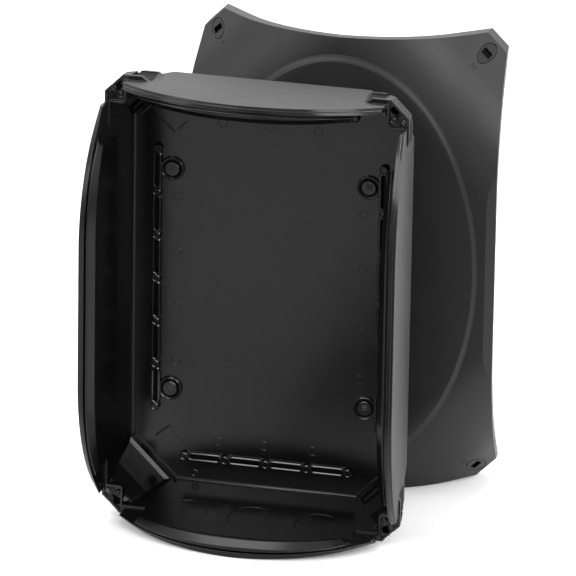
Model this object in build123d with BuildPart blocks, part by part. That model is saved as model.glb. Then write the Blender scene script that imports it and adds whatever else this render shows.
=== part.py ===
from build123d import *
from math import asin, atan, cos, degrees, radians, sin, sqrt, tan
import os

os.makedirs("parts", exist_ok=True)

# Frame: origin at the centre of the back face, +X right, +Z up, opening towards -Y.
# "Depth" is the distance in front of the back face, so a depth d lies at y = -d.
# "Reach" is the distance from the box axis along a 45 degree corner diagonal.

# ---- Driving dimensions, millimetres and degrees ----
back_half_width = 130.5
back_half_height = 196.5
rim_half_width = 144.3
rim_half_height = 213.6
rim_depth = 127.5
wall = 3.6
floor_thickness = 3.5
edge_radius = 4.5

# Corner chamfer outside, facet inside
chamfer_reach_at_back = 202.5
chamfer_slope = 0.475
facet_profile = ((198.7, 3.5), (204.0, 7.5), (208.5, 20.0), (213.5, 34.0), (221.0, 46.0), (221.0, 54.2))
ledge_reach = 195.2
ledge_height = 2.4
ledge_across, ledge_length = 4.0, 54.0

# Rim surface, flat in the middle and folded back over each corner
fold_start = 147.0
fold_radius = 90.0
fold_angle = 55.0

# Rim section, from the outer edge inwards
outer_step_width = 2.4
outer_step_drop = 1.2
groove_inset = 5.4
groove_width = 2.2
groove_depth = 4.5
mouth_half_width = 129.6
mouth_half_height = 197.0
flange_thickness = 11.0
lip_bevel = 5.8
side_flange_half = 160.0
cross_flange_half = 99.0

# Corner ear, lock notch and cored pockets
ear_depths = (27.0, 61.0)
ear_half_widths = (134.6, 139.0)
ear_half_heights = (203.8, 209.3)
ear_chamfer_profile = ((222.0, 20.0), (222.0, 27.0), (233.0, 44.0), (235.2, 66.0))
ear_x_start, ear_z_start = 93.0, 157.0
ear_ramp = 9.0
notch_x, notch_z = 121.0, 184.0
notch_radius = 2.5
plate_depth = 58.2
plate_thickness = 4.0
plate_edge = 2.6
plate_lip_width = 1.8
plate_lip_top = 62.0
pocket_depths = (31.0, 56.5)
top_pocket_x = (97.0, 115.8)
top_pocket_floor = 202.6
side_pocket_z = (164.0, 188.0)
side_pocket_floor = 135.0
chamfer_notch = (5.0, 1.6)
chamfer_notch_pitch = 7.0

# Small features on the corner plates, placed along the diagonal and across it
grip_pitch = 2.2
grip_width = 1.0
grip_length = 5.0
grip_height = 1.6
grip_across = 10.5
grip_reach = 225.5
post_radius = 1.5
post_reach = 222.6
post_across = 5.5

# Quarter-turn lock with a one-sided cam
lock_x, lock_z = 125.0, 198.8
lock_head_radius = 6.9
lock_shank_radius = 3.2
lock_clearance = 0.08
lock_shoulder_depth = 69.0
lock_seat_depth = 67.2
lock_guide_depth = 73.0
lock_ring_gap = 0.6
lock_slot = (9.4, 4.4)
lock_slot_depth = 4.0
cam_length = 6.2
cam_width = 5.0
cam_depths = (50.6, 53.6)
keyhole_gap = 0.4
cam_room_radius = 6.8
cam_room_reach = 232.0
washer_thickness = 1.5

# Floor furniture
rail_height = 3.0
rail_wall = 1.5
rail_width = 8.4
peg_size = 5.4
peg_gap = 2.6
peg_height = 3.8
side_rail_x = 104.6
side_rail_half = 124.0
side_rail_segments = 6
cross_rail_z = 169.6
cross_rail_half = 76.8
cross_rail_segments = 4
boss_x, boss_z = 90.8, 105.5
boss_radius = 11.0
boss_ring = 1.6
boss_height = 2.6
mark_height = 0.5
mark_width = 1.0
knockout_radius = 20.5
knockout_sink = 0.4
knockout_depth = 60.0
knockout_x = (-62.0, 0.0, 62.0)
floor_marks = (
    (-99.5, 150.5, 29.7, -45.0),
    (-82.0, 147.0, 11.3, 45.0),
    (-97.5, -147.5, 17.0, 40.0),
    (-84.5, -149.5, 19.8, -49.0),
)

# Cover
cover_shift = (44.5, 197.0, 3.4)
cover_gap = 1.0
cover_thickness = 3.0
cover_front_half = (147.3, 217.0)
cover_tip_half = (140.8, 214.3)
cover_tip_depth = 70.0
cover_chamfer_reach = 238.4
skirt_length = 9.0
skirt_wall = 2.2
field_half_width, field_half_height = 131.5, 200.0
field_rise = 1.3
field_band = 3.8
side_band_width = 8.5
side_band_drop = 3.6
side_band_half = 168.0
tongue_inset = 5.95
tongue_width = 1.1
tongue_length = 4.2
seal_inset = 8.8
seal_width = 4.2
seal_height = 2.6
tower_radius = 8.8
tower_foot_depth = 63.0
tower_gap = 0.6
marker_offset = 12.5
marker_size = (4.4, 5.6)
marker_sink = 0.4

corners = {
    "top_left": (-1, 1),
    "top_right": (1, 1),
    "bottom_left": (-1, -1),
    "bottom_right": (1, -1),
}
FAR = 300.0
lock_reach = (lock_x + lock_z) / sqrt(2)
lock_across = (lock_x - lock_z) / sqrt(2)


def front_plane(depth):
    """Plane parallel to the back face at a depth; local x is +X and local y is +Z."""
    return Plane(origin=(0, -depth, 0), x_dir=(1, 0, 0), z_dir=(0, -1, 0))


def diagonal_plane(sign_x, sign_z):
    """Plane through a corner diagonal; local x is the reach and local y is the depth."""
    outward = Vector(sign_x, 0, sign_z) / sqrt(2)
    return Plane(origin=(0, 0, 0), x_dir=outward, z_dir=outward.cross(Vector(0, -1, 0)))


def drafted_half(depth):
    """Outer half width and half height of the drafted walls at a depth."""
    share = depth / rim_depth
    return (
        back_half_width + share * (rim_half_width - back_half_width),
        back_half_height + share * (rim_half_height - back_half_height),
    )


def drafted_block(half_width_at, half_height_at, depth_from, depth_to):
    """Block with four flat drafted faces, its half sizes given as functions of depth."""
    with BuildPart() as block:
        for plane, half_at, mode in (
            (Plane.XY, half_width_at, Mode.ADD),
            (Plane.ZY, half_height_at, Mode.INTERSECT),
        ):
            near, far = half_at(depth_from), half_at(depth_to)
            with BuildSketch(plane):
                with BuildLine():
                    Polyline(
                        (-near, -depth_from),
                        (-far, -depth_to),
                        (far, -depth_to),
                        (near, -depth_from),
                        close=True,
                    )
                make_face()
            extrude(amount=FAR, both=True, mode=mode)
    return block.part


def wall_block(inset, depth_from, depth_to):
    """Block whose four faces run parallel to the drafted walls, inset from their outside."""
    return drafted_block(
        lambda depth: drafted_half(depth)[0] - inset,
        lambda depth: drafted_half(depth)[1] - inset,
        depth_from,
        depth_to,
    )


def corner_wedges(profile):
    """Four wedges along the corner chamfers, outside a (reach, depth) profile line."""
    first_depth = profile[0][1]
    last_depth = profile[-1][1]
    with BuildPart() as wedges:
        for sign_x, sign_z in corners.values():
            with BuildSketch(diagonal_plane(sign_x, sign_z)):
                with BuildLine():
                    Polyline(*profile, (FAR, last_depth), (FAR, first_depth), close=True)
                make_face()
            extrude(amount=140, both=True)
    return wedges.part


def crown(lift=0.0):
    """Everything behind the rim surface, the surface moved outwards by a lift."""
    radius = fold_radius + lift
    front = rim_depth + lift
    middle_angle = radians(fold_angle / 2)
    end_angle = radians(fold_angle)
    end_reach = fold_start + radius * sin(end_angle)
    end_depth = front - radius * (1 - cos(end_angle))
    with BuildPart() as block:
        with BuildSketch(front_plane(-20)):
            Rectangle(330, 470)
        extrude(amount=front + 20)
        for sign_x, sign_z in corners.values():
            with BuildSketch(diagonal_plane(sign_x, sign_z)):
                with BuildLine():
                    ThreePointArc(
                        (fold_start, front),
                        (
                            fold_start + radius * sin(middle_angle),
                            front - radius * (1 - cos(middle_angle)),
                        ),
                        (end_reach, end_depth),
                    )
                    Polyline(
                        (end_reach, end_depth),
                        (FAR, end_depth - (FAR - end_reach) * tan(end_angle)),
                        (FAR, front + 30),
                        (fold_start, front + 30),
                        (fold_start, front),
                    )
                make_face()
            extrude(amount=FAR, both=True, mode=Mode.SUBTRACT)
    return block.part


def notch_zones(grow, depth_from, depth_to):
    """Blocks over the four lock notches, grown towards the middle of the box."""
    with BuildPart() as zones:
        with BuildSketch(front_plane(depth_from)):
            for sign_x, sign_z in corners.values():
                with Locations((sign_x * (notch_x - grow + 50), sign_z * (notch_z - grow + 50))):
                    RectangleRounded(100, 100, max(notch_radius + grow, 1.0))
        extrude(amount=depth_to - depth_from)
    return zones.part


def ring_plan(inset):
    """Walls' plan inset all round, going in around the four lock notches as well."""
    with BuildPart() as block:
        add(wall_block(inset, 50, 142))
        add(notch_zones(inset, 40, 150), mode=Mode.SUBTRACT)
    return block.part


def ring_between(outer_inset, inner_inset, low_lift, high_lift):
    """Band between two insets, between two lifts of the rim surface."""
    with BuildPart() as band:
        add(ring_plan(outer_inset))
        add(ring_plan(inner_inset), mode=Mode.SUBTRACT)
        add(crown(high_lift), mode=Mode.INTERSECT)
        add(crown(low_lift), mode=Mode.SUBTRACT)
    return band.part


def pocket_blocks():
    """Blocks that fill the cored pockets in the ears' outer faces."""
    length = pocket_depths[1] - pocket_depths[0]
    middle = -(pocket_depths[0] + pocket_depths[1]) / 2
    with BuildPart() as blocks:
        for sign_x, sign_z in corners.values():
            middle_x = sign_x * (top_pocket_x[0] + top_pocket_x[1]) / 2
            middle_z = sign_z * (side_pocket_z[0] + side_pocket_z[1]) / 2
            with Locations((middle_x, middle, sign_z * (top_pocket_floor + 15))):
                Box(top_pocket_x[1] - top_pocket_x[0], length, 30)
            with Locations((sign_x * (side_pocket_floor + 15), middle, middle_z)):
                Box(30, length, side_pocket_z[1] - side_pocket_z[0])
    return blocks.part


def corner_location(sign_x, sign_z, reach, across=0.0):
    """Spot at a reach, and this far from the lock along the chamfer towards the box side."""
    total = lock_across + across
    return Location(
        (sign_x * (reach + total) / sqrt(2), sign_z * (reach - total) / sqrt(2), 0),
        (0, 0, 45 * sign_x * sign_z),
    )


def rim_drop(reach):
    """Drop of the rim surface below its flat middle, at a reach inside the round fold."""
    return fold_radius - sqrt(fold_radius**2 - (reach - fold_start) ** 2)


def lip_cutter(inward, along, offset, half_length):
    """Wedge that bevels one inner edge of the rim: straight, then curved down at both ends."""
    inward, along = Vector(inward), Vector(along)
    flat_end = fold_start * sqrt(2) - offset
    run = half_length - flat_end
    drop = rim_drop((offset + half_length) / sqrt(2))
    curve_radius = (run**2 + drop**2) / (2 * drop)
    corner = along * flat_end - inward * offset - Vector(0, rim_depth, 0)
    start = Plane(origin=corner, x_dir=inward, z_dir=along)
    out = -1 if start.y_dir.Y > 0 else 1
    rise = lip_bevel + 2
    turn = Axis(corner + Vector(0, curve_radius, 0), along.cross(Vector(0, 1, 0)))
    with BuildSketch(start) as wedge:
        with BuildLine():
            Polyline(
                (-rise, out * rise),
                (lip_bevel + 1, out * rise),
                (lip_bevel + 1, -out * (lip_bevel + 1)),
                close=True,
            )
        make_face()
    with BuildPart() as cutter:
        extrude(wedge.sketch, amount=-flat_end)
        revolve(wedge.sketch, axis=turn, revolution_arc=degrees(asin(run / curve_radius)))
        mirror(about=Plane(origin=(0, 0, 0), z_dir=along))
    return cutter.part


def knockout_places():
    """Centres and inward normals of the knockouts, on the drafted end walls."""
    half_height = drafted_half(knockout_depth)[1]
    lean_z = atan((rim_half_height - back_half_height) / rim_depth)
    places = []
    for side in (-1, 1):
        for x in knockout_x:
            centre = (x, -knockout_depth, side * (half_height - wall))
            places.append((centre, (0, -sin(lean_z), -side * cos(lean_z))))
    return places


# ---- Base: helper solids ----
rim_surface = crown()
facets = corner_wedges(facet_profile)
lip_x = mouth_half_width + lip_bevel
lip_z = mouth_half_height + lip_bevel

# Mouth: narrowed by a flange along the middle of each side
with BuildPart() as mouth:
    with BuildSketch(front_plane(plate_lip_top)):
        Rectangle(2 * lip_x, 2 * lip_z)
        for side in (-1, 1):
            with Locations(Location((side * lip_x, 0, 0), (0, 0, side * 90))):
                Trapezoid(
                    2 * side_flange_half,
                    lip_bevel,
                    45,
                    align=(Align.CENTER, Align.MIN),
                    mode=Mode.SUBTRACT,
                )
            with Locations(Location((0, side * lip_z, 0), (0, 0, 90 + side * 90))):
                Trapezoid(
                    2 * cross_flange_half,
                    lip_bevel,
                    45,
                    align=(Align.CENTER, Align.MIN),
                    mode=Mode.SUBTRACT,
                )
    extrude(amount=80)

# Straight groove for the cover's tongue, and the step along the rim's outer edge
with BuildPart() as groove:
    add(wall_block(groove_inset, 50, 142))
    add(wall_block(groove_inset + groove_width, 50, 142), mode=Mode.SUBTRACT)
    add(crown(-groove_depth), mode=Mode.SUBTRACT)
    add(notch_zones(0, 40, 150), mode=Mode.SUBTRACT)

with BuildPart() as outer_step:
    add(wall_block(-4, 50, 142))
    add(wall_block(outer_step_width, 50, 142), mode=Mode.SUBTRACT)
    add(crown(-outer_step_drop), mode=Mode.SUBTRACT)
    add(notch_zones(0, 40, 150), mode=Mode.SUBTRACT)

# Room inside the walls; a shelf stays in each corner, its lip standing round the notch
shelf = notch_zones(plate_lip_width, plate_depth - plate_thickness, plate_lip_top)
with BuildPart() as interior:
    add(wall_block(wall, floor_thickness, 136))
    add(crown(-flange_thickness), mode=Mode.INTERSECT)
    add(facets, mode=Mode.SUBTRACT)
    add(shelf, mode=Mode.SUBTRACT)

# Ears: proud of the walls, ramped towards the middle of each side
with BuildPart() as ears:
    ear_slope_x, ear_slope_z = (
        (front - back) / (ear_depths[1] - ear_depths[0])
        for back, front in (ear_half_widths, ear_half_heights)
    )
    add(
        drafted_block(
            lambda depth: ear_half_widths[0] + (depth - ear_depths[0]) * ear_slope_x,
            lambda depth: ear_half_heights[0] + (depth - ear_depths[0]) * ear_slope_z,
            *ear_depths,
        )
    )
    with BuildSketch(front_plane(0)):
        for sign_x, sign_z in corners.values():
            with BuildLine():
                Polyline(
                    (sign_x * ear_x_start, sign_z * ear_z_start),
                    (sign_x * ear_x_start, sign_z * (ear_half_heights[1] - ear_ramp)),
                    (sign_x * (ear_x_start + 1.4 * ear_ramp), sign_z * ear_half_heights[1]),
                    (sign_x * FAR, sign_z * FAR),
                    (sign_x * ear_half_widths[1], sign_z * (ear_z_start + 1.4 * ear_ramp)),
                    (sign_x * (ear_half_widths[1] - ear_ramp), sign_z * ear_z_start),
                    close=True,
                )
            make_face()
    extrude(amount=90, mode=Mode.INTERSECT)
    add(corner_wedges(ear_chamfer_profile), mode=Mode.SUBTRACT)

# ---- Base: one moulding ----
with BuildPart() as box_base:
    add(wall_block(0, 0, 140))
    add(
        corner_wedges(
            (
                (chamfer_reach_at_back - 20 * chamfer_slope, -20),
                (chamfer_reach_at_back + 160 * chamfer_slope, 160),
            )
        ),
        mode=Mode.SUBTRACT,
    )
    slanted = box_base.edges().filter_by(lambda edge: edge.bounding_box().size.Y > 20)
    back_edges = box_base.faces().sort_by(Axis.Y)[-1].edges()
    fillet(slanted + back_edges, radius=edge_radius)
    add(rim_surface, mode=Mode.INTERSECT)
    add(ears.part)

    # Room inside, and the mouth through the flange with its bevelled lip
    add(interior.part, mode=Mode.SUBTRACT)
    add(mouth.part, mode=Mode.SUBTRACT)
    for side in (-1, 1):
        add(lip_cutter((-side, 0, 0), (0, 0, 1), lip_x, side_flange_half), mode=Mode.SUBTRACT)
        add(lip_cutter((0, 0, -side), (1, 0, 0), lip_z, cross_flange_half), mode=Mode.SUBTRACT)

    # Lock notches in the rim, scalloped round the cover's lock towers
    add(notch_zones(0, ear_depths[1], 150), mode=Mode.SUBTRACT)
    with BuildSketch(front_plane(plate_lip_top)):
        for sign_x, sign_z in corners.values():
            with Locations((sign_x * lock_x, sign_z * lock_z)):
                Circle(tower_radius + tower_gap)
    extrude(amount=70, mode=Mode.SUBTRACT)

    # Corner plates, sunk inside the ears' outer edge
    with BuildSketch(front_plane(plate_depth)):
        for sign_x, sign_z in corners.values():
            with Locations((sign_x * (notch_x + 50), sign_z * (notch_z + 50))):
                RectangleRounded(100, 100, notch_radius)
        Rectangle(
            2 * (ear_half_widths[1] - plate_edge),
            2 * (ear_half_heights[1] - plate_edge),
            mode=Mode.INTERSECT,
        )
        edge_reach = ear_chamfer_profile[-1][0] - plate_edge
        Rectangle(2 * edge_reach, 2 * edge_reach, rotation=45, mode=Mode.INTERSECT)
    extrude(amount=20, mode=Mode.SUBTRACT)

    # Three ribs at the side end of each plate and a small post beside the keyhole
    with BuildSketch(front_plane(plate_depth)):
        for sign_x, sign_z in corners.values():
            with Locations(corner_location(sign_x, sign_z, grip_reach, grip_across)):
                with GridLocations(0, grip_pitch, 1, 3):
                    Rectangle(grip_length, grip_width)
            with Locations(corner_location(sign_x, sign_z, post_reach, post_across)):
                Circle(post_radius)
    extrude(amount=grip_height)

    # Two small notches in the edge over each chamfer
    with BuildSketch(front_plane(plate_depth)):
        for sign_x, sign_z in corners.values():
            with Locations(corner_location(sign_x, sign_z, ear_chamfer_profile[-1][0])):
                with GridLocations(0, chamfer_notch_pitch, 1, 2):
                    Rectangle(chamfer_notch[1], chamfer_notch[0])
    extrude(amount=20, mode=Mode.SUBTRACT)

    # Step along the rim's outer edge, and the tongue groove
    add(outer_step.part, mode=Mode.SUBTRACT)
    add(groove.part, mode=Mode.SUBTRACT)

    # Cored pockets in the ears' outer faces
    add(pocket_blocks(), mode=Mode.SUBTRACT)

    # Lock seats: room for the cam behind the plate, and a keyhole through the plate
    for sign_x, sign_z in corners.values():
        with BuildSketch(front_plane(cam_depths[0] - 1)):
            with Locations((sign_x * lock_x, sign_z * lock_z)):
                Circle(cam_room_radius)
            Rectangle(2 * cam_room_reach, 2 * cam_room_reach, rotation=45, mode=Mode.INTERSECT)
        extrude(amount=plate_depth - plate_thickness - cam_depths[0] + 1, mode=Mode.SUBTRACT)
        with BuildSketch(front_plane(cam_depths[0])):
            with Locations((sign_x * lock_x, sign_z * lock_z)):
                Circle(lock_shank_radius + keyhole_gap)
            keyhole_middle = (cam_length + keyhole_gap) / 2
            with Locations(corner_location(sign_x, sign_z, lock_reach, keyhole_middle)):
                Rectangle(cam_width + 2 * keyhole_gap, cam_length + keyhole_gap)
        extrude(amount=20, mode=Mode.SUBTRACT)

    # Corner ledges on the floor
    ledge_middle = (ledge_reach + facet_profile[0][0]) / 2
    with BuildSketch(front_plane(floor_thickness - 1)):
        for sign_x, sign_z in corners.values():
            with Locations(corner_location(sign_x, sign_z, ledge_middle, ledge_across)):
                Rectangle(facet_profile[0][0] - ledge_reach + 2, ledge_length)
    extrude(amount=ledge_height + 1)

    # Mounting rails on the floor: pegs joined by open slots
    floor_plane = front_plane(floor_thickness)
    side_pitch = 2 * side_rail_half / side_rail_segments
    cross_pitch = 2 * cross_rail_half / cross_rail_segments
    rails = (
        (side_rail_x, 0, 90, side_pitch, side_rail_segments),
        (-side_rail_x, 0, 90, side_pitch, side_rail_segments),
        (0, cross_rail_z, 0, cross_pitch, cross_rail_segments),
        (0, -cross_rail_z, 0, cross_pitch, cross_rail_segments),
    )
    for rail_x, rail_z, turn, pitch, count in rails:
        with BuildSketch(floor_plane):
            with Locations(Location((rail_x, rail_z, 0), (0, 0, turn))):
                with GridLocations(pitch, 0, count, 1):
                    Rectangle(pitch - 2 * peg_gap, rail_width)
                    Rectangle(
                        pitch - 2 * peg_gap - 2 * rail_wall,
                        rail_width - 2 * rail_wall,
                        mode=Mode.SUBTRACT,
                    )
        extrude(amount=rail_height)
        with BuildSketch(floor_plane):
            with Locations(Location((rail_x, rail_z, 0), (0, 0, turn))):
                with GridLocations(pitch, 0, count + 1, 1):
                    Rectangle(peg_size, peg_size, rotation=45)
        extrude(amount=peg_height)

    # Wall fixing bosses, closed until they are drilled through
    with BuildSketch(floor_plane):
        with GridLocations(2 * boss_x, 2 * boss_z, 2, 2):
            Circle(boss_radius)
            Circle(boss_radius - boss_ring, mode=Mode.SUBTRACT)
            Rectangle(mark_width, boss_radius / 2)
    extrude(amount=boss_height)

    # Raised locating marks beside the corner ledges
    with BuildSketch(floor_plane):
        for mark_x, mark_z, mark_length, mark_turn in floor_marks:
            with Locations(Location((mark_x, mark_z, 0), (0, 0, mark_turn))):
                Rectangle(mark_length, mark_width)
    extrude(amount=mark_height)

    # Cable knockouts scribed into the inside of the walls
    for centre, direction in knockout_places():
        with BuildSketch(Plane(origin=centre, x_dir=(0, 1, 0), z_dir=direction)):
            Circle(knockout_radius)
        extrude(amount=knockout_sink, both=True, mode=Mode.SUBTRACT)

box_base.part.label = "box_base"
export_step(box_base.part, "parts/box_base.step")

# ---- Cover: one moulding, drawn on the base and then set down behind it ----
cover_top = cover_gap + cover_thickness


def cover_block(inset):
    """Outline of the cover, drafted towards its corners and inset from its outside."""
    front_depth = rim_depth + cover_top
    halves = zip(cover_front_half, cover_tip_half)
    slopes = [(front - tip) / (front_depth - cover_tip_depth) for front, tip in halves]
    with BuildPart() as block:
        add(
            drafted_block(
                lambda depth: cover_front_half[0] - inset + (depth - front_depth) * slopes[0],
                lambda depth: cover_front_half[1] - inset + (depth - front_depth) * slopes[1],
                40,
                145,
            )
        )
        reach = cover_chamfer_reach - inset
        add(corner_wedges(((reach, 30), (reach, 150))), mode=Mode.SUBTRACT)
    return block.part


cover_surface = crown(cover_top)
lock_points = [(sign_x * lock_x, sign_z * lock_z) for sign_x, sign_z in corners.values()]

with BuildPart() as lid:
    add(cover_block(0))
    add(cover_surface, mode=Mode.INTERSECT)

    # Flat band along both long edges
    for side in (-1, 1):
        band_half = cover_front_half[0]
        band_front = rim_depth + cover_top
        with BuildSketch(Plane.XY.offset(-side_band_half)):
            with BuildLine():
                Polyline(
                    (side * (band_half - side_band_width), -band_front),
                    (side * (band_half + 2), -band_front - 2),
                    (
                        side * (band_half + 2),
                        side_band_drop * (1 + 2 / side_band_width) - band_front,
                    ),
                    close=True,
                )
            make_face()
        extrude(amount=2 * side_band_half, mode=Mode.SUBTRACT)

    # Raised oval field, stepping up in a narrow band
    for inset, rise in ((0, field_rise / 2), (field_band, field_rise)):
        with BuildPart(mode=Mode.PRIVATE) as field:
            with BuildSketch(front_plane(rim_depth - 6)):
                Ellipse(field_half_width - inset, field_half_height - inset)
            extrude(amount=20)
            add(crown(cover_top + rise), mode=Mode.INTERSECT)
        add(field.part)

    # Hollow behind the shell, open at the back below the skirt
    with BuildPart(mode=Mode.PRIVATE) as hollow:
        add(cover_block(skirt_wall))
        add(crown(cover_gap), mode=Mode.INTERSECT)
    add(hollow.part, mode=Mode.SUBTRACT)
    add(crown(cover_top - skirt_length), mode=Mode.SUBTRACT)

    # Straight tongues that drop into the base's grooves
    with BuildPart(mode=Mode.PRIVATE) as tongue:
        add(wall_block(tongue_inset, 50, 142))
        add(wall_block(tongue_inset + tongue_width, 50, 142), mode=Mode.SUBTRACT)
        add(crown(cover_gap + 0.5), mode=Mode.INTERSECT)
        add(crown(cover_gap - tongue_length), mode=Mode.SUBTRACT)
        add(notch_zones(0.5, 40, 150), mode=Mode.SUBTRACT)
    add(tongue.part)

    # Lock towers, with a seat for the head and a bore for the shank
    with BuildPart(mode=Mode.PRIVATE) as towers:
        with BuildSketch(front_plane(tower_foot_depth)):
            with Locations(*lock_points):
                Circle(tower_radius)
        extrude(amount=60)
        add(crown(cover_top - 0.5), mode=Mode.INTERSECT)
    add(towers.part)
    for bore_depth, bore_clearance in (
        (lock_seat_depth, lock_clearance),
        (lock_guide_depth, lock_ring_gap),
    ):
        with BuildSketch(front_plane(bore_depth)):
            with Locations(*lock_points):
                Circle(lock_head_radius + bore_clearance)
        extrude(amount=60, mode=Mode.SUBTRACT)
    with BuildSketch(front_plane(tower_foot_depth - 5)):
        with Locations(*lock_points):
            Circle(lock_shank_radius + lock_clearance)
    extrude(amount=20, mode=Mode.SUBTRACT)

    # Sunk hourglass marks beside the locks
    with BuildPart(mode=Mode.PRIVATE) as markers:
        with BuildSketch(front_plane(tower_foot_depth)):
            for sign_x, sign_z in corners.values():
                reach = lock_reach - marker_offset
                for side in (-1, 1):
                    with Locations(corner_location(sign_x, sign_z, reach)):
                        half = Location((0, side * marker_size[1] / 4, 0), (0, 0, 90 + side * 90))
                        with Locations(half):
                            Triangle(
                                a=marker_size[0],
                                b=marker_size[1] / 1.6,
                                c=marker_size[1] / 1.6,
                            )
        extrude(amount=80)
        add(crown(cover_top - marker_sink), mode=Mode.SUBTRACT)
    add(markers.part, mode=Mode.SUBTRACT)

lid.part.label = "lid"
lid.part.position = cover_shift
export_step(lid.part, "parts/lid.step")

# ---- Sealing cord inside the tongue ----
with BuildPart() as lid_seal:
    add(ring_between(seal_inset, seal_inset + seal_width, cover_gap - seal_height, cover_gap))

lid_seal.part.label = "lid_seal"
lid_seal.part.position = cover_shift
export_step(lid_seal.part, "parts/lid_seal.step")

# ---- Quarter-turn locks and the sealing washers under their heads ----
slot_floor = crown(cover_top - lock_slot_depth)
for name, (sign_x, sign_z) in corners.items():
    centre = (sign_x * lock_x, sign_z * lock_z)
    along_edge = -45 * sign_x * sign_z
    with BuildPart() as lock:
        with BuildSketch(front_plane(lock_shoulder_depth)):
            with Locations(centre):
                Circle(lock_head_radius)
        extrude(amount=50)
        add(cover_surface, mode=Mode.INTERSECT)
        with BuildPart(mode=Mode.PRIVATE) as slot:
            with BuildSketch(front_plane(lock_shoulder_depth)):
                with Locations(Location((centre[0], centre[1], 0), (0, 0, along_edge))):
                    Rectangle(*lock_slot)
            extrude(amount=50)
            add(slot_floor, mode=Mode.SUBTRACT)
        add(slot.part, mode=Mode.SUBTRACT)
        with BuildSketch(front_plane(cam_depths[0])):
            with Locations(centre):
                Circle(lock_shank_radius)
        extrude(amount=lock_shoulder_depth - cam_depths[0])
        with BuildSketch(front_plane(cam_depths[0])):
            cam_middle = cam_length / 2 / sqrt(2)
            cam_x = centre[0] + sign_x * cam_middle
            cam_z = centre[1] - sign_z * cam_middle
            with Locations(Location((cam_x, cam_z, 0), (0, 0, along_edge))):
                Rectangle(cam_length, cam_width)
        extrude(amount=cam_depths[1] - cam_depths[0])
    lock.part.label = f"lock_{name}"
    lock.part.position = cover_shift
    export_step(lock.part, f"parts/lock_{name}.step")

with BuildPart() as lock_washers:
    with BuildSketch(front_plane(lock_seat_depth)):
        with Locations(*lock_points):
            Circle(lock_head_radius - 0.4)
            Circle(lock_shank_radius + 0.1, mode=Mode.SUBTRACT)
    extrude(amount=washer_thickness)

lock_washers.part.label = "lock_washers"
lock_washers.part.position = cover_shift
export_step(lock_washers.part, "parts/lock_washers.step")
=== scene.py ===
"""Looks of the open junction box and its cover: plastics, seal, small marks, studio and camera."""
import math

import bmesh
import bpy
from mathutils import Matrix, Vector


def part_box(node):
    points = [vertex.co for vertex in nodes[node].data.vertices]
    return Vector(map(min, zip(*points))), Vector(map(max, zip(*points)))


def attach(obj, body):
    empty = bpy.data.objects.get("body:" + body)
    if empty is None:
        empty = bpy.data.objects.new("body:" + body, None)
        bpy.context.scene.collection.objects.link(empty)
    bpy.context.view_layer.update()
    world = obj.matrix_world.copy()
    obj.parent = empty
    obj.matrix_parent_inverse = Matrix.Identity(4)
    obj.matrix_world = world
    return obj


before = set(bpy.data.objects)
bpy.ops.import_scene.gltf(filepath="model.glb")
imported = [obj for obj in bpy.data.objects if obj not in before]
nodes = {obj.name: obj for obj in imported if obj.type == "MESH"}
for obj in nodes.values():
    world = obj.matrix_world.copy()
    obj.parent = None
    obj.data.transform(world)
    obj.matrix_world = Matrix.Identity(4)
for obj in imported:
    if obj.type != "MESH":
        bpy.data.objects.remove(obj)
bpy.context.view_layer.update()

# ---- Driving values: metres, degrees, linear colours ----
MM = 0.001
ground_z = min(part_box(node)[0].z for node in ("box_base", "lid"))

camera_azimuth = 13.85
camera_elevation = 20.12
camera_roll = 0.96
camera_distance = 6.5
camera_lens = 455.9
camera_target = Vector((0.03149, -0.060, 0.02348))

# How far a face looks sideways before it counts as an outer wall
outward_from, outward_to = 0.55, 0.85

# Studio floor: lift for the camera, and what the plastics see of it, dimmer in front with a dark patch,
# a painted shade in their reflections
floor_half = 30.0
floor_lift = 0.15
floor_back_tone, floor_front_tone = 0.92, 0.46
floor_dim_from, floor_dim_to = -0.32, -0.02
floor_patch_tone, floor_patch_x = 0.10, 0.03
floor_patch_from, floor_patch_to = 0.05, 0.09

# Surroundings: strength on the camera's side and behind, and how far off the middle they hold
room_front, room_back, room_turn = 0.60, 1.15, 0.6

# Finish of the plastics
bevel_samples = 6
wave_height = 0.004
grain_height = 0.00006

# Floor of the box and what stands on it, in millimetres; rails and bosses stand where the solids
# have theirs
floor_depth = 3.5
foot_sink = 0.3
# Height of the thin dark pads that paint shade in slots, grooves and sockets
shade_pad_height = 0.15
side_rail_x, side_rail_half, side_rail_count = 104.6, 124.0, 6
cross_rail_z, cross_rail_half, cross_rail_count = 169.6, 76.8, 4
rail_gap = 2.5
rail_half_width, slot_half_width, rail_height, rail_chamfer = 4.35, 1.7, 4.0, 0.8
peg_outer, peg_inner, peg_height, peg_chamfer = 4.0, 2.1, 4.7, 0.7
boss_x, boss_z = 90.8, 105.5
# Groove round each boss is a dark ring of painted shade
boss_groove_radius, boss_groove_width = 8.7, 1.9
boss_bar_half, boss_bar_pitch, boss_bar_shift = (2.6, 0.45), 1.9, (0.6, 1.2)
boss_bar_height, boss_bar_chamfer = 3.5, 0.25
fillet_half_x, fillet_half_z, fillet_reach = 127.3, 193.4, 198.7
fillet_radius, fillet_bury = 2.4, 0.4
# Pad, ring and rim of a boss: radius, wall, height, chamfer
boss_rounds = ((6.9, None, 2.9, 0.6), (9.5, 0.9, 1.7, 0.3), (11.1, 1.8, 2.9, 0.7))
ejector_places = [(side * 86.0, z) for side in (-1, 1) for z in (-79.0, -26.5, 26.5, 79.0)]
ejector_places += [(x, side * 153.0) for side in (-1, 1) for x in (-45.0, -2.0, 43.0)]
ejector_radius, ejector_wall, ejector_height, ejector_chamfer = 4.4, 0.9, 0.35, 0.2
floor_ring_place, floor_ring_radius = (-67.0, -186.0), 3.4
floor_ring_wall, floor_ring_height, floor_ring_chamfer = 1.1, 0.9, 0.3

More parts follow.
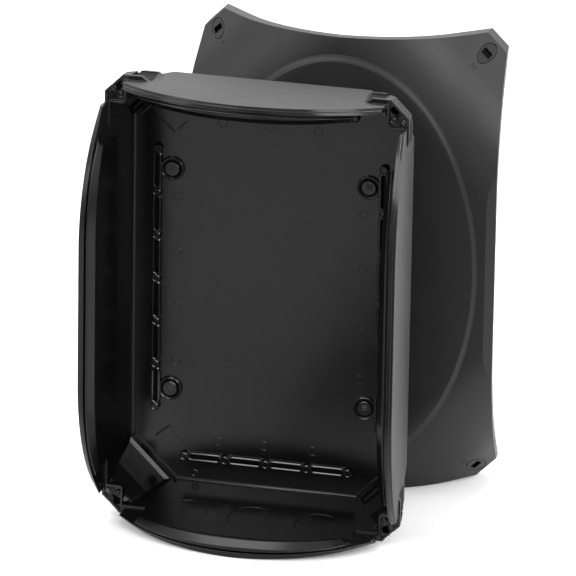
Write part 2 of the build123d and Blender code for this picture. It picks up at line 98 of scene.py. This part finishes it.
# Corner plates and ears, in millimetres; places are (reach along the diagonal, distance across it)
plate_depth = 58.2
lock_x, lock_z = 125.0, 198.8
lock_across = (lock_x - lock_z) / math.sqrt(2)
clip_places = ((221.5, -3.4), (228.6, 13.2))
clip_half, clip_wall, clip_height, clip_chamfer = (2.3, 1.7), 1.1, 2.5, 0.35
# Dark pads inside the clips: painted shade
socket_half, socket_height = (1.3, 0.7), 0.2
post_place, post_radius, post_wall, post_chamfer = (222.6, 5.5), 2.6, 0.8, 0.3
rib_place, rib_pitch, rib_half, rib_height, rib_chamfer = (231.0, 6.0), 1.6, (0.4, 2.0), 1.9, 0.15
# Dark plates over the floors of the top and the side pocket, painted shade there: depths, then x and z
# ranges
pocket_near, pocket_far = 33.0, 56.2
pocket_ranges = (((97.3, 115.5), (202.5, 202.75)), ((134.9, 135.15), (164.3, 187.7)))

# Oval band on the cover, in metres
oval_centre = (0.0445, 0.0034)
oval_half = (0.1315, 0.200)
oval_inner_share = 0.966
oval_rise = 0.0016


# ---- Node helpers ----
def new_material(name):
    """Empty node material with its nodes and links."""
    material = bpy.data.materials.new(name)
    material.use_nodes = True
    material.node_tree.nodes.clear()
    return material, material.node_tree.nodes, material.node_tree.links


def add_node(tree_nodes, kind, **settings):
    """Node with its properties or input defaults set."""
    node = tree_nodes.new(kind)
    for key, value in settings.items():
        if hasattr(node, key):
            setattr(node, key, value)
        else:
            node.inputs[key.replace("_", " ")].default_value = value
    return node


def ramp(tree_nodes, low, high, low_position=0.0, high_position=1.0):
    """Map Range node from low to high between two positions of its value."""
    node = tree_nodes.new("ShaderNodeMapRange")
    node.inputs["From Min"].default_value = low_position
    node.inputs["From Max"].default_value = high_position
    node.inputs["To Min"].default_value = low
    node.inputs["To Max"].default_value = high
    return node


def outward_share(tree_nodes, tree_links, coords):
    """1 on faces that look sideways away from the part's middle, 0 on the rest."""
    geometry = tree_nodes.new("ShaderNodeNewGeometry")
    place = tree_nodes.new("ShaderNodeSeparateXYZ")
    tree_links.new(coords.outputs["Object"], place.inputs["Vector"])
    facing = tree_nodes.new("ShaderNodeSeparateXYZ")
    tree_links.new(geometry.outputs["True Normal"], facing.inputs["Vector"])
    shares = []
    for axis in ("X", "Z"):
        side = tree_nodes.new("ShaderNodeMath")
        side.operation = "SIGN"
        tree_links.new(place.outputs[axis], side.inputs[0])
        turned = tree_nodes.new("ShaderNodeMath")
        turned.operation = "MULTIPLY"
        tree_links.new(side.outputs["Value"], turned.inputs[0])
        tree_links.new(facing.outputs[axis], turned.inputs[1])
        shares.append(turned)
    largest = tree_nodes.new("ShaderNodeMath")
    largest.operation = "MAXIMUM"
    for index, share in enumerate(shares):
        tree_links.new(share.outputs["Value"], largest.inputs[index])
    step = ramp(tree_nodes, 0.0, 1.0, outward_from, outward_to)
    tree_links.new(largest.outputs["Value"], step.inputs["Value"])
    return step


def oval_height(tree_nodes, tree_links, coords):
    """Height of the cover's oval field: 0 outside, rising over the band to 1 inside."""
    place = tree_nodes.new("ShaderNodeSeparateXYZ")
    tree_links.new(coords.outputs["Object"], place.inputs["Vector"])
    flat = tree_nodes.new("ShaderNodeCombineXYZ")
    for axis, middle, half in zip(("X", "Z"), oval_centre, oval_half):
        scaled = ramp(tree_nodes, -1.0, 1.0, middle - half, middle + half)
        scaled.clamp = False
        tree_links.new(place.outputs[axis], scaled.inputs["Value"])
        tree_links.new(scaled.outputs["Result"], flat.inputs[axis])
    distance = tree_nodes.new("ShaderNodeVectorMath")
    distance.operation = "LENGTH"
    tree_links.new(flat.outputs["Vector"], distance.inputs[0])
    height = ramp(tree_nodes, 1.0, 0.0, oval_inner_share, 1.0)
    height.interpolation_type = "SMOOTHSTEP"
    tree_links.new(distance.outputs["Value"], height.inputs["Value"])
    return height


def moulded_plastic(
    name, dark, light, roughness, outer_roughness, grain, edge_radius, flow, oval=False, ior=1.5
):
    """Black moulded plastic: fine spark-eroded grain, faint flow marks and softened edges."""
    material, n, links = new_material(name)
    coords = n.new("ShaderNodeTexCoord")

    clouds = add_node(n, "ShaderNodeTexNoise", Scale=9.0, Detail=4.0, Roughness=0.55)
    links.new(coords.outputs["Object"], clouds.inputs["Vector"])
    tone = n.new("ShaderNodeMix")
    tone.data_type = "RGBA"
    tone.inputs["A"].default_value = (*dark, 1)
    tone.inputs["B"].default_value = (*light, 1)
    links.new(clouds.outputs["Fac"], tone.inputs["Factor"])

    speck = add_node(n, "ShaderNodeTexNoise", Scale=2600.0, Detail=2.0, Roughness=0.5)
    links.new(coords.outputs["Object"], speck.inputs["Vector"])
    smear = add_node(n, "ShaderNodeTexNoise", Scale=22.0, Detail=5.0, Roughness=0.6)
    links.new(coords.outputs["Object"], smear.inputs["Vector"])
    rough = ramp(n, roughness - 0.03, roughness + 0.04, 0.3, 0.7)
    links.new(smear.outputs["Fac"], rough.inputs["Value"])
    eroded = ramp(n, outer_roughness - 0.04, outer_roughness + 0.04, 0.3, 0.7)
    links.new(smear.outputs["Fac"], eroded.inputs["Value"])
    outward = outward_share(n, links, coords)
    gloss = n.new("ShaderNodeMix")
    links.new(outward.outputs["Result"], gloss.inputs["Factor"])
    links.new(rough.outputs["Result"], gloss.inputs["A"])
    links.new(eroded.outputs["Result"], gloss.inputs["B"])

    soft_edge = n.new("ShaderNodeBevel")
    soft_edge.samples = bevel_samples
    soft_edge.inputs["Radius"].default_value = edge_radius
    wave = n.new("ShaderNodeBump")
    wave.inputs["Strength"].default_value = flow
    wave.inputs["Distance"].default_value = wave_height
    links.new(clouds.outputs["Fac"], wave.inputs["Height"])
    links.new(soft_edge.outputs["Normal"], wave.inputs["Normal"])
    if oval:
        band = n.new("ShaderNodeBump")
        band.inputs["Distance"].default_value = oval_rise
        links.new(oval_height(n, links, coords).outputs["Result"], band.inputs["Height"])
        links.new(soft_edge.outputs["Normal"], band.inputs["Normal"])
        links.new(band.outputs["Normal"], wave.inputs["Normal"])
    fine = n.new("ShaderNodeBump")
    fine.inputs["Strength"].default_value = grain
    fine.inputs["Distance"].default_value = grain_height
    links.new(speck.outputs["Fac"], fine.inputs["Height"])
    links.new(wave.outputs["Normal"], fine.inputs["Normal"])

    shader = n.new("ShaderNodeBsdfPrincipled")
    shader.inputs["IOR"].default_value = ior
    links.new(tone.outputs["Result"], shader.inputs["Base Color"])
    links.new(gloss.outputs["Result"], shader.inputs["Roughness"])
    links.new(fine.outputs["Normal"], shader.inputs["Normal"])
    output = n.new("ShaderNodeOutputMaterial")
    links.new(shader.outputs["BSDF"], output.inputs["Surface"])
    return material


def foam_rubber(name, dark, light, cell_scale, depth):
    """Closed-cell foam or rubber: matt, with small cells."""
    material, n, links = new_material(name)
    coords = n.new("ShaderNodeTexCoord")
    cells = add_node(n, "ShaderNodeTexVoronoi", Scale=cell_scale)
    links.new(coords.outputs["Object"], cells.inputs["Vector"])
    tone = n.new("ShaderNodeMix")
    tone.data_type = "RGBA"
    tone.inputs["A"].default_value = (*dark, 1)
    tone.inputs["B"].default_value = (*light, 1)
    links.new(cells.outputs["Distance"], tone.inputs["Factor"])
    rough = ramp(n, 0.62, 0.85)
    links.new(cells.outputs["Distance"], rough.inputs["Value"])
    pits = n.new("ShaderNodeBump")
    pits.inputs["Strength"].default_value = 0.5
    pits.inputs["Distance"].default_value = depth
    links.new(cells.outputs["Distance"], pits.inputs["Height"])
    shader = n.new("ShaderNodeBsdfPrincipled")
    links.new(tone.outputs["Result"], shader.inputs["Base Color"])
    links.new(rough.outputs["Result"], shader.inputs["Roughness"])
    links.new(pits.outputs["Normal"], shader.inputs["Normal"])
    output = n.new("ShaderNodeOutputMaterial")
    links.new(shader.outputs["BSDF"], output.inputs["Surface"])
    return material


base_plastic = moulded_plastic(
    "base_plastic",
    dark=(0.0030, 0.0031, 0.0032),
    light=(0.0048, 0.0049, 0.0050),
    roughness=0.16,
    outer_roughness=0.50,
    grain=0.30,
    edge_radius=0.0011,
    flow=0.03,
)
lid_plastic = moulded_plastic(
    "lid_plastic",
    dark=(0.0130, 0.0131, 0.0133),
    light=(0.0170, 0.0171, 0.0173),
    roughness=0.44,
    outer_roughness=0.45,
    grain=0.35,
    edge_radius=0.0007,
    flow=0.03,
    oval=True,
)
lock_plastic = moulded_plastic(
    "lock_plastic",
    dark=(0.0050, 0.0051, 0.0053),
    light=(0.0080, 0.0081, 0.0083),
    roughness=0.34,
    outer_roughness=0.40,
    grain=0.30,
    edge_radius=0.0004,
    flow=0.02,
)
# Painted shade: a darker, duller copy of the plastic with a weak reflection, laid where shade falls in
# slots, grooves, pockets and on upright walls
painted_shade_plastic = moulded_plastic(
    "painted_shade_plastic",
    dark=(0.0020, 0.0020, 0.0021),
    light=(0.0035, 0.0035, 0.0036),
    roughness=0.70,
    outer_roughness=0.70,
    grain=0.60,
    edge_radius=0.0002,
    flow=0.02,
    ior=1.25,
)
detail_plastic = moulded_plastic(
    "detail_plastic",
    dark=(0.0045, 0.0046, 0.0048),
    light=(0.0070, 0.0071, 0.0073),
    roughness=0.14,
    outer_roughness=0.14,
    grain=0.20,
    edge_radius=0.00035,
    flow=0.02,
)
# Painted glint: the same plastic reflecting more strongly than it really does, on chamfers so that
# their highlights come out brighter
glint_boost_plastic = moulded_plastic(
    "glint_boost_plastic",
    dark=(0.0045, 0.0046, 0.0048),
    light=(0.0070, 0.0071, 0.0073),
    roughness=0.12,
    outer_roughness=0.12,
    grain=0.20,
    edge_radius=0.0002,
    flow=0.02,
    ior=1.9,
)
seal_foam = foam_rubber(
    "seal_foam",
    dark=(0.020, 0.020, 0.021),
    light=(0.050, 0.050, 0.052),
    cell_scale=900.0,
    depth=0.0003,
)
washer_rubber = foam_rubber(
    "washer_rubber",
    dark=(0.010, 0.010, 0.011),
    light=(0.020, 0.020, 0.021),
    cell_scale=3000.0,
    depth=0.0001,
)

finishes = {
    "box_base": base_plastic,
    "lid": lid_plastic,
    "lid_seal": seal_foam,
    "lock_washers": washer_rubber,
}
for node_name, node_object in nodes.items():
    node_object.data.materials.clear()
    node_object.data.materials.append(finishes.get(node_name, lock_plastic))


# ---- Fine moulded details in the box ----
def stadium(centre, half_length, half_width, along_z, steps=10):
    """Outline with round ends, in millimetres in front view, as a function of how far it is grown."""

    def outline(grow):
        points = []
        for end in (1, -1):
            for step in range(steps + 1):
                angle = math.pi * (step / steps - 0.5)
                u = end * (half_length - half_width + (half_width + grow) * math.cos(angle))
                v = end * (half_width + grow) * math.sin(angle)
                points.append((centre[0] + (v if along_z else u), centre[1] + (u if along_z else v)))
        return points

    return outline


def circle(centre, radius, steps=36):
    """Round outline, in millimetres in front view, as a function of how far it is grown."""

    def outline(grow):
        turns = [2 * math.pi * step / steps for step in range(steps)]
        size = radius + grow
        return [(centre[0] + size * math.cos(t), centre[1] + size * math.sin(t)) for t in turns]

    return outline


def bar(centre, half_length, half_width, turn=0.0):
    """Four-sided outline turned about its centre, as a function of how far it is grown."""

    def outline(grow):
        long, wide = half_length + grow, half_width + grow
        cos, sin = math.cos(turn), math.sin(turn)
        return [
            (centre[0] + u * cos - v * sin, centre[1] + u * sin + v * cos)
            for u, v in ((-long, -wide), (long, -wide), (long, wide), (-long, wide))
        ]

    return outline


def detail_piece(name, shapes, material, foot_depth):
    """Piece of rings and pads standing on a front-facing surface of the housing.

    Each shape is (outline, wall or None for a full pad, height, edge chamfer). Its tops take the given
    material, its upright walls the darker painted-shade plastic, and its chamfers the plastic with a
    strengthened reflection, a painted glint."""
    top, wall_side, edge = 0, 1, 2
    mesh = bmesh.new()
    for outline, wall, height, chamfer in shapes:
        profile = [(0.0, -foot_sink), (0.0, height - chamfer), (-chamfer, height)]
        faces = [wall_side, edge]
        if wall is not None:
            profile += [(chamfer - wall, height), (-wall, height - chamfer), (-wall, -foot_sink)]
            faces += [top, edge, wall_side, wall_side]
        loops = [
            [mesh.verts.new((x * MM, -(foot_depth + lift) * MM, z * MM)) for x, z in outline(grow)]
            for grow, lift in profile
        ]
        pairs = list(zip(loops, loops[1:]))
        if wall is None:
            mesh.faces.new(loops[0])
            mesh.faces.new(loops[-1])
        else:
            pairs.append((loops[-1], loops[0]))
        for (low, high), slot_index in zip(pairs, faces):
            count = len(low)
            for i in range(count):
                j = (i + 1) % count
                mesh.faces.new((low[i], low[j], high[j], high[i])).material_index = slot_index
    add_piece(name, mesh, (material, painted_shade_plastic, glint_boost_plastic))


def add_piece(name, mesh, materials):
    """Object from a mesh, without faces of no area, riding on the housing."""
    bmesh.ops.remove_doubles(mesh, verts=mesh.verts, dist=0.0001 * MM)
    bmesh.ops.recalc_face_normals(mesh, faces=mesh.faces)
    data = bpy.data.meshes.new(name)
    mesh.to_mesh(data)
    mesh.free()
    for material in materials:
        data.materials.append(material)
    piece = bpy.data.objects.new(name, data)
    bpy.context.scene.collection.objects.link(piece)
    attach(piece, "housing")


rail_rows = [(True, side * side_rail_x, side_rail_half, side_rail_count) for side in (-1, 1)]
rail_rows += [(False, side * cross_rail_z, cross_rail_half, cross_rail_count) for side in (-1, 1)]
rail_wall = rail_half_width - slot_half_width
rail_rings, slot_floors, peg_rings = [], [], []
for along_z, offset, half, count in rail_rows:
    pitch = 2 * half / count
    for index in range(count + 1):
        along = -half + pitch * index
        peg = (offset, along) if along_z else (along, offset)
        peg_rings.append((circle(peg, peg_outer, 28), peg_outer - peg_inner, peg_height, peg_chamfer))
        if index == count:
            continue
        middle = (offset, along + pitch / 2) if along_z else (along + pitch / 2, offset)
        half_length = pitch / 2 - rail_gap
        rim = stadium(middle, half_length, rail_half_width, along_z)
        rail_rings.append((rim, rail_wall, rail_height, rail_chamfer))
        # Thin dark pad in each slot: painted shade
        slot = stadium(middle, half_length - rail_wall, slot_half_width, along_z)
        slot_floors.append((slot, None, shade_pad_height, 0.0))
detail_piece("rail_edges", rail_rings, detail_plastic, floor_depth)
detail_piece("rail_slot_shade_pads", slot_floors, painted_shade_plastic, floor_depth)
detail_piece("rail_peg_rings", peg_rings, detail_plastic, floor_depth)

boss_shapes, boss_groove_shades = [], []
for centre in [(sx * boss_x, sz * boss_z) for sx in (-1, 1) for sz in (-1, 1)]:
    for radius, wall, height, chamfer in boss_rounds:
        boss_shapes.append((circle(centre, radius), wall, height, chamfer))
    # Dark ring in the groove: painted shade
    groove = circle(centre, boss_groove_radius)
    boss_groove_shades.append((groove, boss_groove_width, shade_pad_height, 0.0))
    for row in (-1, 0, 1):
        line = (centre[0] + boss_bar_shift[0], centre[1] + boss_bar_shift[1] + row * boss_bar_pitch)
        boss_shapes.append((bar(line, *boss_bar_half), None, boss_bar_height, boss_bar_chamfer))
detail_piece("boss_steps", boss_shapes, detail_plastic, floor_depth)
detail_piece("boss_groove_shades", boss_groove_shades, painted_shade_plastic, floor_depth)

rings = [
    (circle(place, ejector_radius), ejector_wall, ejector_height, ejector_chamfer)
    for place in ejector_places
]
lone_ring = circle(floor_ring_place, floor_ring_radius)
rings.append((lone_ring, floor_ring_wall, floor_ring_height, floor_ring_chamfer))
detail_piece("ejector_rings", rings, detail_plastic, floor_depth)


def corner_spot(sx, sz, reach, across):
    """Spot at a reach along the diagonal and so far from the lock along the chamfer."""
    total = lock_across + across
    return (sx * (reach + total) / math.sqrt(2), sz * (reach - total) / math.sqrt(2))


clips, clip_socket_shades = [], []
for sx in (-1, 1):
    for sz in (-1, 1):
        turn = math.radians(-45 * sx * sz)
        for reach, across in clip_places:
            spot = corner_spot(sx, sz, reach, across)
            clips.append((bar(spot, *clip_half, turn), clip_wall, clip_height, clip_chamfer))
            # Dark pad inside the clip: painted shade
            clip_socket_shades.append((bar(spot, *socket_half, turn), None, socket_height, 0.0))
        post = circle(corner_spot(sx, sz, *post_place), post_radius, 24)
        clips.append((post, post_wall, clip_height, post_chamfer))
        for row in (-1, 0, 1):
            spot = corner_spot(sx, sz, rib_place[0], rib_place[1] + row * rib_pitch)
            clips.append((bar(spot, *rib_half, turn), None, rib_height, rib_chamfer))
detail_piece("corner_clips", clips, detail_plastic, plate_depth)
detail_piece("corner_clip_shade_pads", clip_socket_shades, painted_shade_plastic, plate_depth)


def pocket_shade_plates(name):
    """Thin dark plates on the floors of the two pockets of each corner ear: painted shade in the
    pockets.
    """
    mesh = bmesh.new()
    box_faces = ((0, 1, 3, 2), (4, 5, 7, 6), (0, 1, 5, 4), (2, 3, 7, 6), (0, 2, 6, 4), (1, 3, 7, 5))
    for sx in (-1, 1):
        for sz in (-1, 1):
            for x_range, z_range in pocket_ranges:
                corners = [
                    mesh.verts.new((sx * x * MM, -depth * MM, sz * z * MM))
                    for x in x_range
                    for depth in (pocket_near, pocket_far)
                    for z in z_range
                ]
                for face in box_faces:
                    mesh.faces.new([corners[index] for index in face])
    add_piece(name, mesh, (painted_shade_plastic,))


pocket_shade_plates("pocket_shade_plates")


def floor_fillet(name, radius, steps=8):
    """Hollow round where the floor meets the walls, as a closed strip round the octagon."""
    mesh = bmesh.new()
    profile = [(-fillet_bury, -fillet_bury), (radius, -fillet_bury / 2)]
    for step in range(steps + 1):
        angle = math.pi / 2 * step / steps
        profile.append((radius - radius * math.sin(angle), radius - radius * math.cos(angle)))
    profile.append((-fillet_bury / 2, radius))
    loops = []
    for inset, lift in profile:
        half_x, half_z = fillet_half_x - inset, fillet_half_z - inset
        cut = (fillet_reach - inset) * math.sqrt(2)
        quarter = ((half_x, cut - half_x), (cut - half_z, half_z))
        points = []
        for sx, sz, order in ((1, 1, 1), (-1, 1, -1), (-1, -1, 1), (1, -1, -1)):
            points += [(sx * x, sz * z) for x, z in quarter[::order]]
        loops.append(
            [mesh.verts.new((x * MM, -(floor_depth + lift) * MM, z * MM)) for x, z in points]
        )
    for k, loop in enumerate(loops):
        following = loops[(k + 1) % len(loops)]
        for i in range(8):
            j = (i + 1) % 8
            face = mesh.faces.new((loop[i], loop[j], following[j], following[i]))
            face.smooth = 1 < k < len(loops) - 2
    add_piece(name, mesh, (detail_plastic,))


floor_fillet("floor_fillet", fillet_radius)


# ---- Studio: pale floor, bright surroundings, soft lamps ----
def pale_floor():
    """White ground with faint paper clouds, lifted to white for the camera alone; reflections see it
    darker in front, a painted shade in the plastics' reflections.
    """
    material, n, links = new_material("pale_floor")
    coords = n.new("ShaderNodeTexCoord")
    paper = add_node(n, "ShaderNodeTexNoise", Scale=3.0, Detail=3.0)
    links.new(coords.outputs["Object"], paper.inputs["Vector"])
    tone = ramp(n, 0.90, 0.93)
    links.new(paper.outputs["Fac"], tone.inputs["Value"])
    shader = n.new("ShaderNodeBsdfDiffuse")
    links.new(tone.outputs["Result"], shader.inputs["Color"])
    glow = n.new("ShaderNodeEmission")
    glow.inputs["Strength"].default_value = floor_lift
    lifted = n.new("ShaderNodeAddShader")
    links.new(shader.outputs["BSDF"], lifted.inputs[0])
    links.new(glow.outputs["Emission"], lifted.inputs[1])

    # Painted reflection: the plastics reflect a floor dimmer towards the front, with a dark patch
    # there, than the camera sees
    place = n.new("ShaderNodeSeparateXYZ")
    links.new(coords.outputs["Object"], place.inputs["Vector"])
    shade = ramp(n, floor_front_tone, floor_back_tone, floor_dim_from, floor_dim_to)
    links.new(place.outputs["Y"], shade.inputs["Value"])
    aside = n.new("ShaderNodeMath")
    aside.operation = "SUBTRACT"
    aside.inputs[1].default_value = floor_patch_x
    links.new(place.outputs["X"], aside.inputs[0])
    distance = n.new("ShaderNodeMath")
    distance.operation = "ABSOLUTE"
    links.new(aside.outputs["Value"], distance.inputs[0])
    front = ramp(n, floor_patch_tone, floor_front_tone, floor_patch_from, floor_patch_to)
    links.new(distance.outputs["Value"], front.inputs["Value"])
    links.new(front.outputs["Result"], shade.inputs["To Min"])
    mirrored = n.new("ShaderNodeBsdfDiffuse")
    links.new(shade.outputs["Result"], mirrored.inputs["Color"])
    path = n.new("ShaderNodeLightPath")
    seen = n.new("ShaderNodeMixShader")
    links.new(path.outputs["Is Camera Ray"], seen.inputs["Fac"])
    links.new(mirrored.outputs["BSDF"], seen.inputs[1])
    links.new(lifted.outputs["Shader"], seen.inputs[2])
    output = n.new("ShaderNodeOutputMaterial")
    links.new(seen.outputs["Shader"], output.inputs["Surface"])
    mesh = bpy.data.meshes.new("floor")
    corners = [(sx * floor_half, sy * floor_half, 0) for sx, sy in ((-1, -1), (1, -1), (1, 1), (-1, 1))]
    mesh.from_pydata(corners, [], [(0, 1, 2, 3)])
    floor = bpy.data.objects.new("floor", mesh)
    floor.location = (0, 0, ground_z)
    mesh.materials.append(material)
    bpy.context.scene.collection.objects.link(floor)


def bright_room():
    """Even white surroundings, dimmer on the camera's side, and plain white behind the set."""
    world = bpy.data.worlds.new("room")
    world.use_nodes = True
    n, links = world.node_tree.nodes, world.node_tree.links
    n.clear()
    coords = n.new("ShaderNodeTexCoord")
    split = n.new("ShaderNodeSeparateXYZ")
    links.new(coords.outputs["Generated"], split.inputs["Vector"])
    level = ramp(n, room_front, room_back, -room_turn, room_turn)
    links.new(split.outputs["Y"], level.inputs["Value"])
    background = n.new("ShaderNodeBackground")
    background.inputs["Color"].default_value = (1, 1, 1, 1)
    links.new(level.outputs["Result"], background.inputs["Strength"])
    white = n.new("ShaderNodeBackground")
    white.inputs["Color"].default_value = (1, 1, 1, 1)
    white.inputs["Strength"].default_value = 1.0
    path = n.new("ShaderNodeLightPath")
    mix = n.new("ShaderNodeMixShader")
    links.new(path.outputs["Is Camera Ray"], mix.inputs["Fac"])
    links.new(background.outputs["Background"], mix.inputs[1])
    links.new(white.outputs["Background"], mix.inputs[2])
    output = n.new("ShaderNodeOutputWorld")
    links.new(mix.outputs["Shader"], output.inputs["Surface"])
    bpy.context.scene.world = world


def soft_lamp(name, place, aim, size, power):
    """Rectangular area lamp of so many watts, turned towards its aim."""
    data = bpy.data.lights.new(name, "AREA")
    data.shape = "RECTANGLE"
    data.size, data.size_y = size
    data.energy = power
    lamp = bpy.data.objects.new(name, data)
    lamp.location = place
    lamp.rotation_euler = (Vector(aim) - Vector(place)).to_track_quat("-Z", "Y").to_euler()
    bpy.context.scene.collection.objects.link(lamp)


pale_floor()
bright_room()
soft_lamp("top_back_lamp", (-0.1, 1.3, 1.6), (0.0, 0.0, 0.1), (1.6, 0.8), 26.0)
soft_lamp("right_back_lamp", (1.5, 0.9, 0.3), (0.1, -0.05, 0.0), (0.8, 1.4), 26.0)
soft_lamp("left_lamp", (-1.6, -1.2, 0.9), (0.0, 0.0, 0.0), (0.8, 1.2), 4.0)
soft_lamp("overhead_lamp", (-0.3, -0.45, 1.3), (0.0, -0.1, 0.0), (1.1, 0.9), 8.0)
soft_lamp("front_lamp", (-0.66, -1.35, 0.84), (0.0, 0.0, 0.0), (0.6, 0.5), 5.5)
soft_lamp("front_right_lamp", (1.08, -0.80, 0.90), (0.0, 0.0, 0.0), (0.9, 0.8), 8.5)


# ---- Camera at the photo's angle ----
def place_camera():
    """Long lens at the photo's angle, rolled a little about its line of sight."""
    azimuth, elevation = math.radians(camera_azimuth), math.radians(camera_elevation)
    away = Vector(
        (
            math.sin(azimuth) * math.cos(elevation),
            -math.cos(azimuth) * math.cos(elevation),
            math.sin(elevation),
        )
    )
    data = bpy.data.cameras.new("camera")
    data.lens = camera_lens
    data.sensor_width = 36.0
    data.clip_end = 100.0
    camera = bpy.data.objects.new("camera", data)
    camera.location = camera_target + away * camera_distance
    level = (-away).to_track_quat("-Z", "Y").to_matrix().to_4x4()
    camera.matrix_world = (
        Matrix.Translation(camera.location)
        @ level
        @ Matrix.Rotation(math.radians(camera_roll), 4, "Z")
    )
    bpy.context.scene.collection.objects.link(camera)
    bpy.context.scene.camera = camera


place_camera()
bpy.context.scene.view_settings.view_transform = "Standard"
